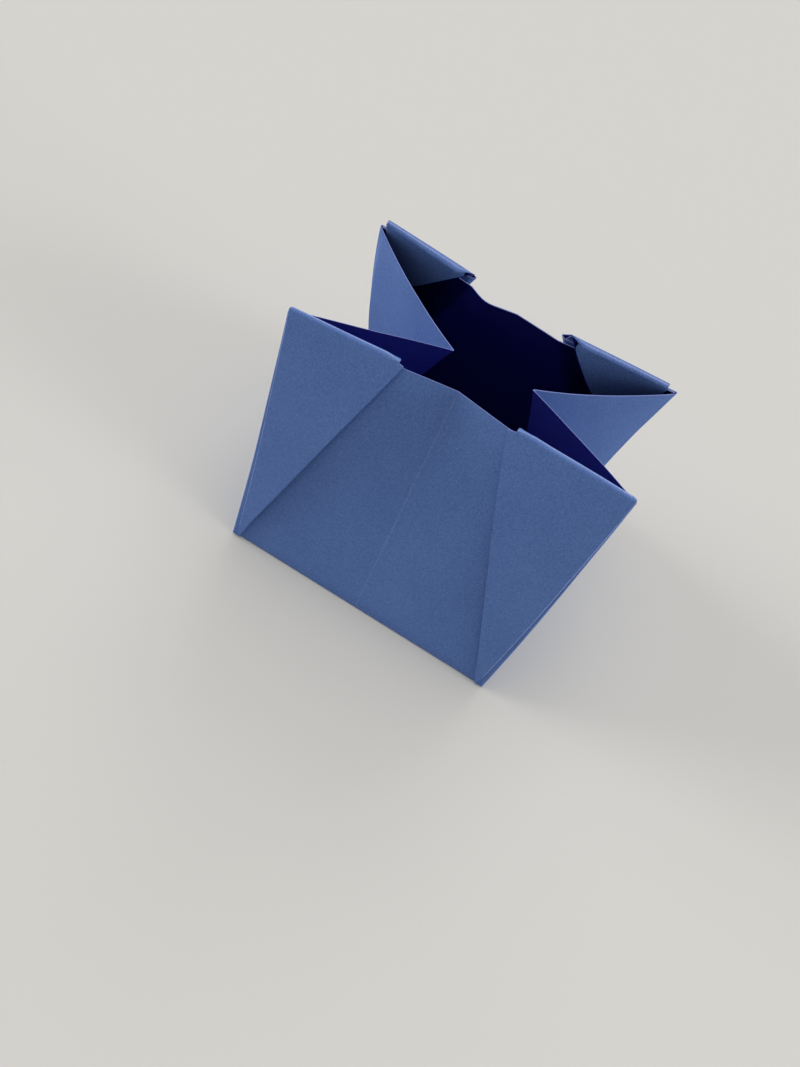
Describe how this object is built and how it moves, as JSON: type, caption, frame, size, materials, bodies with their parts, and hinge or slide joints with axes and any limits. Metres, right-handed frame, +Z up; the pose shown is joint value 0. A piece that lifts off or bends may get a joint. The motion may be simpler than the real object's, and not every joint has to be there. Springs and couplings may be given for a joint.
{
  "type": "origami box",
  "caption": "Open-topped origami box folded from a square sheet, with leaning walls, pinched gusset sides and corner flaps rolled over the rim.",
  "frame": {"origin": "middle of the base, on its underside", "axes": "+Z up through the mouth, +X along the long front wall, -Y out through the front wall"},
  "size_m": [0.059, 0.0568, 0.0483],
  "materials": {
    "blue_paper": "matte, blue outside and dark navy inside"
  },
  "bodies": {
    "root": {"folded_sheet": "blue_paper"}
  },
  "joints": []
}
